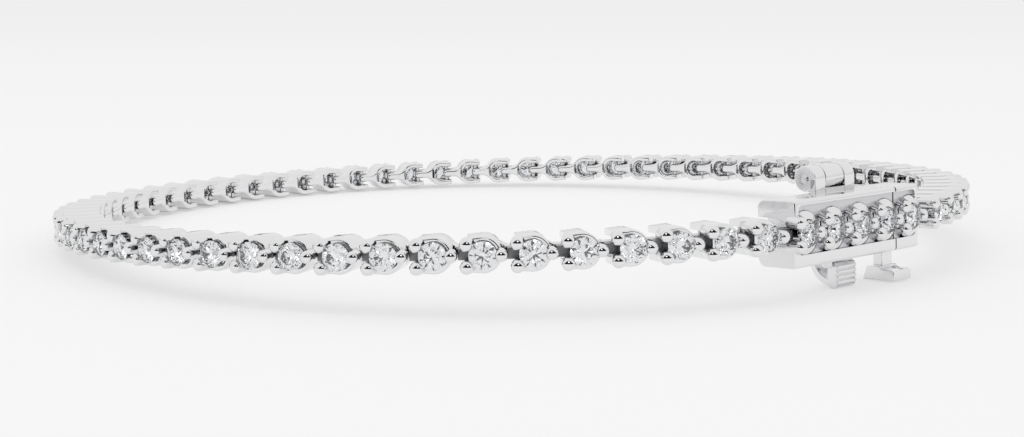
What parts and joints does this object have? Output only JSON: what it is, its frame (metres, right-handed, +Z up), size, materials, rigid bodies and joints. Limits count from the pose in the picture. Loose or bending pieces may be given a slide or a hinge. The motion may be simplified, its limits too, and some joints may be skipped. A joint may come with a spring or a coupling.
{
  "type": "tennis bracelet",
  "caption": "Closed loop of hinged three-prong links, each with a round brilliant stone, joined by a straight box clasp with a tongue and a hinged safety latch.",
  "frame": {"origin": "on the surface that the bracelet lies on, under the centre of its outline", "axes": "+Z up from the surface, across the bracelet's width; +X to the right and +Y away, seen from the side that shows the clasp at the right"},
  "size_m": [0.0614, 0.0614, 0.007],
  "materials": {
    "polished_white_gold": "gloss",
    "gold_with_stones": "gloss",
    "diamond": "gloss"
  },
  "bodies": {
    "bracelet": {"link_chain_1": "gold_with_stones", "link_chain_2": "gold_with_stones", "clasp_box": "polished_white_gold", "clasp_tongue": "polished_white_gold", "latch_hinge_pin": "polished_white_gold", "clasp_stone_1": "diamond", "clasp_stone_2": "diamond", "clasp_stone_3": "diamond", "clasp_stone_4": "diamond", "clasp_stone_5": "diamond"},
    "latch": {"safety_latch": "polished_white_gold"}
  },
  "joints": [
    {"name": "safety_latch_hinge", "type": "hinge", "parent": "bracelet", "child": "latch", "pos_m": [0.01785, -0.01997, 0.00625], "axis": [0.7266, 0.6871, 0], "range_deg": [0, 100]}
  ]
}
